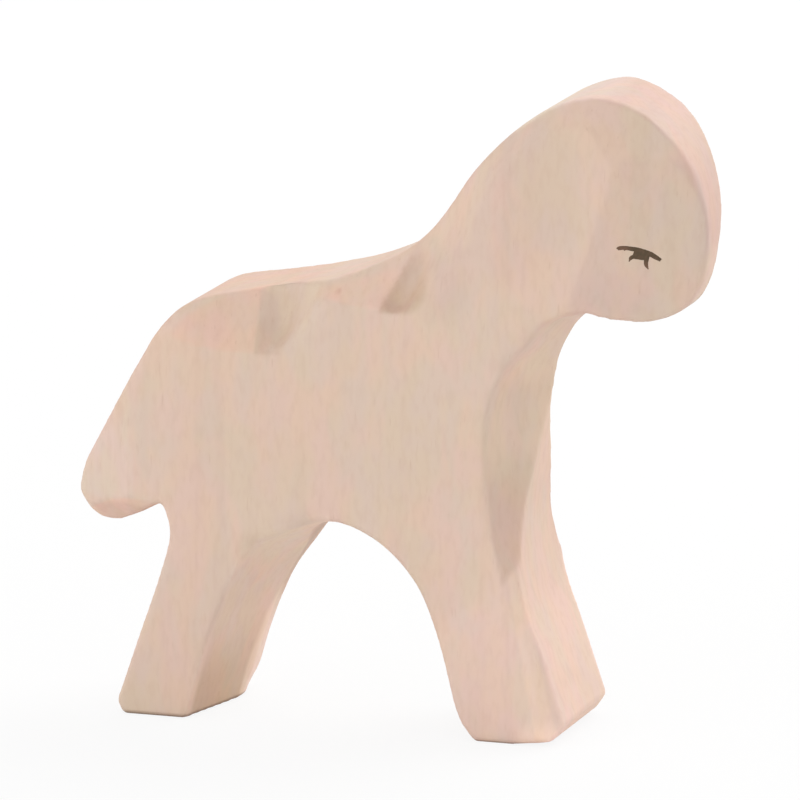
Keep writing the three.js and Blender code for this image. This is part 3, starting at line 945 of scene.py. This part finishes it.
class BrushStrokes(Nodes):
    """A geometry tree that turns courses of a brush into one film of paint on a piece's surface.

    Each course becomes a tube as wide as its points say. The tubes are joined, pressed flat and laid
    on the surface along Y.
    """

    INPUTS = {
        "Wood": "NodeSocketObject",
        "Paint": "NodeSocketMaterial",
        "Towards Wood": "NodeSocketVector",
        "Flatness": "NodeSocketFloat",
        "Wobble": "NodeSocketFloat",
        "Seed": "NodeSocketFloat",
    }
    STEP = 0.07 * MM
    RING_POINTS = 12
    WOBBLES_PER_METRE = 5000.0
    STAND_OFF = 0.5
    RAY_LENGTH = 1.0

    def __init__(self) -> None:
        """Builds the tree."""
        super().__init__(bpy.data.node_groups.new("brush_strokes", "GeometryNodeTree"))
        sockets = self.tree.interface
        sockets.new_socket("Geometry", in_out="OUTPUT", socket_type="NodeSocketGeometry")
        sockets.new_socket("Geometry", in_out="INPUT", socket_type="NodeSocketGeometry")
        for name, kind in self.INPUTS.items():
            sockets.new_socket(name, in_out="INPUT", socket_type=kind)
        given = {name: self.node("NodeGroupInput", out=name) for name in ("Geometry", *self.INPUTS)}
        film = self.lay(self.join(given), given)
        solid = self.node("GeometryNodeRealizeInstances", None, {"Geometry": film})
        values = {"Geometry": solid, "Material": given["Paint"]}
        painted = self.node("GeometryNodeSetMaterial", None, values)
        self.node("NodeGroupOutput", None, {"Geometry": painted})

    def join(self, given: dict[str, Value]) -> Value:
        """Makes the courses into tubes with a hand's wobble, and the tubes into one.

        Args:
            given: The tree's inputs.

        Returns:
            The joined mesh, still round.
        """
        settings = {"spline_type": "CATMULL_ROM"}
        smooth = self.node("GeometryNodeCurveSplineType", settings, {"Curve": given["Geometry"]})
        values = {"Curve": smooth, "Length": self.STEP}
        stepped = self.node("GeometryNodeResampleCurve", {"mode": "LENGTH"}, values)
        values = {"Resolution": self.RING_POINTS, "Radius": 1.0}
        ring = self.node("GeometryNodeCurvePrimitiveCircle", None, values)
        width = self.node("GeometryNodeInputRadius")
        values = {"Curve": stepped, "Profile Curve": ring, "Scale": width, "Fill Caps": True}
        tubes = self.node("GeometryNodeCurveToMesh", None, values)
        values = {"Geometry": tubes, "Offset": self.wobble(given)}
        shaken = self.node("GeometryNodeSetPosition", None, values)
        settings = {"operation": "UNION", "solver": "EXACT"}
        return self.node("GeometryNodeMeshBoolean", settings, {"Mesh 2": shaken, "Self Intersection": True})

    def wobble(self, given: dict[str, Value]) -> Value:
        """Works out how far the hand strays at each point, along the lamb and up.

        Args:
            given: The tree's inputs.

        Returns:
            The shift of each point.
        """
        values = {
            "Vector": self.node("GeometryNodeInputPosition"),
            "W": given["Seed"],
            "Scale": self.WOBBLES_PER_METRE,
            "Detail": 1.0,
        }
        noise = self.node("ShaderNodeTexNoise", {"noise_dimensions": "4D"}, values, "Color")
        centred = self.vector("SUBTRACT", noise, (0.5, 0.5, 0.5))
        length = self.node("ShaderNodeCombineXYZ", None, {"X": given["Wobble"], "Z": given["Wobble"]})
        return self.vector("MULTIPLY", centred, length)

    def lay(self, strokes: Value, given: dict[str, Value]) -> Value:
        """Presses the strokes flat and lays them on the wood.

        Args:
            strokes: The joined strokes, round about the plane that they were drawn on.
            given: The tree's inputs.

        Returns:
            The film on the wood.
        """
        wood = self.node("GeometryNodeObjectInfo", None, {"Object": given["Wood"]}, "Geometry")
        point = self.node("GeometryNodeInputPosition")
        on_plane = self.vector("MULTIPLY", point, (1.0, 0.0, 1.0))
        back = self.vector("MULTIPLY", given["Towards Wood"], (-self.STAND_OFF,) * 3)
        values = {
            "Target Geometry": wood,
            "Source Position": self.vector("ADD", on_plane, back),
            "Ray Direction": given["Towards Wood"],
            "Ray Length": self.RAY_LENGTH,
        }
        surface = self.node("GeometryNodeRaycast", None, values, "Hit Position")
        height = self.node("ShaderNodeSeparateXYZ", None, {0: point}, "Y")
        lift = self.node("ShaderNodeCombineXYZ", None, {"Y": height * given["Flatness"]})
        values = {"Geometry": strokes, "Position": self.vector("ADD", surface, lift)}
        return self.node("GeometryNodeSetPosition", None, values)

    def identifier(self, name: str) -> str:
        """Gives the identifier of the input socket of that name."""
        items = self.tree.interface.items_tree
        return next(item.identifier for item in items if item.in_out == "INPUT" and item.name == name)


@dataclass(frozen=True)
class BrushCourse:
    """One course of the brush: rows of [x, z, width] on the face, in millimetres."""

    rows: tuple[Triple, ...]


EYE_COURSES = (
    BrushCourse(  # lid
        rows=(
            (24.42, 50.54, 0.30), (24.55, 50.64, 0.42), (24.85, 50.68, 0.42), (25.25, 50.64, 0.42),
            (25.62, 50.56, 0.44), (26.05, 50.47, 0.46), (26.45, 50.34, 0.46), (26.90, 50.14, 0.48),
            (27.33, 49.89, 0.50), (27.76, 49.56, 0.46), (28.16, 49.25, 0.32),
        ),
    ),
    BrushCourse(  # drop at the lid's rear
        rows=((25.08, 50.62, 0.40), (25.16, 50.44, 0.36)),
    ),
    BrushCourse(  # rear of the iris
        rows=((26.08, 50.35, 0.44), (25.98, 49.90, 0.50), (25.86, 49.50, 0.50)),
    ),
    BrushCourse(  # rear lash
        rows=((25.90, 49.74, 0.40), (25.62, 49.66, 0.40), (25.46, 49.46, 0.26)),
    ),
    BrushCourse(  # middle of the iris
        rows=((26.40, 50.20, 0.60), (26.40, 49.80, 0.66), (26.32, 49.40, 0.56)),
    ),
    BrushCourse(  # front of the iris
        rows=((26.86, 50.05, 0.60), (26.88, 49.70, 0.64), (26.82, 49.30, 0.50)),
    ),
    BrushCourse(  # front lash
        rows=((26.92, 49.45, 0.44), (26.86, 49.10, 0.38), (26.86, 48.80, 0.34), (27.02, 48.36, 0.08)),
    ),
    BrushCourse(  # thin end of the rear lash
        rows=((25.50, 49.60, 0.20), (25.42, 49.35, 0.16), (25.36, 49.22, 0.06)),
    ),
)


@dataclass
class PaintedEye:
    """One closed eye, a thin film of paint that lies on the face."""

    side: Side
    courses: tuple[BrushCourse, ...] = EYE_COURSES
    flatness: float = 0.12
    wobble: float = 0.07 * MM
    seed: float = 3.0

    @property
    def name(self) -> str:
        """The word that tells the two eyes apart."""
        return self.side.name.lower()

    def drawing(self) -> bpy.types.Object:
        """Draws the courses on the plane Y = 0.

        Returns:
            The drawing, one curve with a line for each course.
        """
        curve = bpy.data.curves.new(f"drawing_{self.name}", "CURVE")
        curve.dimensions = "3D"
        for course in self.courses:
            line = curve.splines.new("POLY")
            line.points.add(len(course.rows) - 1)
            for point, (x, z, width) in zip(line.points, course.rows):
                point.co = (x * MM, 0.0, z * MM, 1.0)
                point.radius = width / 2 * MM
        return put_in_scene(curve.name, curve)

    def build(
        self,
        wood: bpy.types.Object,
        brush: BrushStrokes,
        paint: bpy.types.Material,
    ) -> bpy.types.Object:
        """Paints the eye on the wood.

        Args:
            wood: The carved wood that the paint lies on.
            brush: The tree that lays the courses down.
            paint: The paint.

        Returns:
            The eye's object, at the origin.
        """
        drawing = self.drawing()
        laid = drawing.modifiers.new("brush", "NODES")
        laid.node_group = brush.tree
        values = {
            "Wood": wood,
            "Paint": paint,
            "Towards Wood": (0.0, -float(self.side.value), 0.0),
            "Flatness": self.flatness,
            "Wobble": self.wobble,
            "Seed": self.seed,
        }
        for name, value in values.items():
            laid[brush.identifier(name)] = value
        return put_in_scene(f"brushed_eye_{self.name}", finished_mesh(drawing))

    def settle(self, eye: bpy.types.Object) -> None:
        """Gives the eye its place in the frame.

        Args:
            eye: The painted object.
        """
        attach(eye, "root")
        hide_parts(f"painted_eye_{self.name}")


@dataclass(frozen=True)
class Lamp:
    """One square soft lamp that faces the lamb: which way it hangs and how many watts it takes."""

    name: str
    towards: Triple
    power: float
    away: float = 0.9
    size: float = 0.8


@dataclass
class Studio:
    """The plain floor, the soft lamps and the camera.

    The camera looks at the aim from the lamb's right, turned towards its front by the azimuth and
    raised by the elevation, both in degrees. The glow share is how much of the floor shows to the
    camera as plain white. The sky is the strength of the light that comes from all round.
    """

    azimuth: float = 18.25
    elevation: float = 12.2
    distance: float = 1.0
    aim: Triple = (-0.186 * MM, 0.0, 32.44 * MM)
    lens: float = 451.1
    sensor: float = 36.0
    nearest: float = 0.01
    floor_size: float = 6.0
    floor_paint: tuple[float, float, float, float] = (0.8, 0.8, 0.8, 1.0)
    glow_share: float = 0.88
    sky: float = 0.58
    lamps: tuple[Lamp, ...] = (
        Lamp("key_behind_right", (0.5, 0.6, 0.6), 4.9),
        Lamp("rim_above", (0.0, 0.7, 0.7), 2.4),
        Lamp("front_left", (-0.5, -0.8, 0.3), 2.65),
        Lamp("front_right", (0.75, -0.6, 0.4), 1.05),
        Lamp("far_left", (-1.0, 0.0, 0.25), 1.85),
    )

    def build(self) -> None:
        """Makes the floor, the sky, the lamps and the camera."""
        self.lay_floor()
        self.light_sky()
        for lamp in self.lamps:
            self.hang_lamp(lamp)
        self.set_camera()
        bpy.context.scene.view_settings.view_transform = "Standard"

    def lay_floor(self) -> None:
        """Lays a pale floor that shows as white and keeps the shadow."""
        mesh = bpy.data.meshes.new("floor")
        half = self.floor_size / 2
        rim = [(-half, -half, 0.0), (half, -half, 0.0), (half, half, 0.0), (-half, half, 0.0)]
        mesh.from_pydata(rim, [], [(0, 1, 2, 3)])
        shader = Shader("floor")
        paint = shader.node("ShaderNodeBsdfDiffuse", None, {"Color": self.floor_paint})
        glow = shader.node("ShaderNodeEmission", None, {"Color": WHITE, "Strength": 1.0})
        camera = shader.node("ShaderNodeLightPath", out="Is Camera Ray")
        glossy = shader.node("ShaderNodeLightPath", out="Is Glossy Ray")
        seen = (camera + glossy) * self.glow_share
        surface = shader.node("ShaderNodeMixShader", None, {0: seen, 1: paint, 2: glow})
        mesh.materials.append(shader.close(surface))
        floor = put_in_scene("floor", mesh)
        floor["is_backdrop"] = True

    def light_sky(self) -> None:
        """Lights the scene evenly from all round and shows white behind the floor."""
        world = bpy.data.worlds.new("sky")
        world.use_nodes = True
        sky = Nodes(world.node_tree)
        seen = sky.node("ShaderNodeLightPath", out="Is Camera Ray")
        values = {"Value": seen, "To Min": self.sky, "To Max": 1.0}
        strength = sky.node("ShaderNodeMapRange", None, values)
        light = sky.node("ShaderNodeBackground", None, {"Color": WHITE, "Strength": strength})
        sky.node("ShaderNodeOutputWorld", None, {"Surface": light})
        bpy.context.scene.world = world

    def face_lamb(self, thing: bpy.types.Object, direction: Vector, away: float) -> None:
        """Hangs a lamp or the camera so that it faces the lamb.

        Args:
            thing: The lamp or the camera.
            direction: The way to it from the lamb, one metre long.
            away: Its distance from the lamb, in metres.
        """
        thing.location = Vector(self.aim) + direction * away
        thing.rotation_euler = direction.to_track_quat("Z", "Y").to_euler()

    def hang_lamp(self, lamp: Lamp) -> None:
        """Hangs one lamp.

        Args:
            lamp: Its direction, distance, size and power.
        """
        light = bpy.data.lights.new(lamp.name, "AREA")
        light.size = lamp.size
        light.energy = lamp.power
        self.face_lamb(put_in_scene(lamp.name, light), Vector(lamp.towards).normalized(), lamp.away)

    def set_camera(self) -> None:
        """Sets the camera where the photograph was taken from."""
        camera = bpy.data.cameras.new("camera")
        camera.lens = self.lens
        camera.sensor_width = self.sensor
        camera.sensor_fit = "HORIZONTAL"
        camera.clip_start = self.nearest
        turn = math.radians(self.azimuth)
        rise = math.radians(self.elevation)
        across, ahead, up = math.sin(turn), -math.cos(turn), math.sin(rise)
        direction = Vector((across * math.cos(rise), ahead * math.cos(rise), up))
        holder = put_in_scene("camera", camera)
        self.face_lamb(holder, direction, self.distance)
        bpy.context.scene.camera = holder


def corners(box: Any) -> list[list[float]]:
    """Writes a box's two corners as plain lists of numbers."""
    return [list(corner) for corner in box]


def main() -> None:
    """Builds the lamb piece by piece, then the studio."""
    logging.basicConfig(level=logging.INFO, format="%(name)s: %(message)s")
    carver = CarvedBody()
    body = carver.build()
    carver.dress(body, Maple().material())
    LOG.info("%s has %d faces", body.name, len(body.data.polygons))
    brush = BrushStrokes()
    paint = EyePaint().material()
    for side in Side:
        painter = PaintedEye(side)
        eye = painter.build(body, brush, paint)
        painter.settle(eye)
        LOG.info("%s has %d faces", eye.name, len(eye.data.polygons))
    Studio().build()
    {"cad": corners(CAD_BOX), "visual": corners(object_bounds())}


if __name__ == "__main__":
    main()
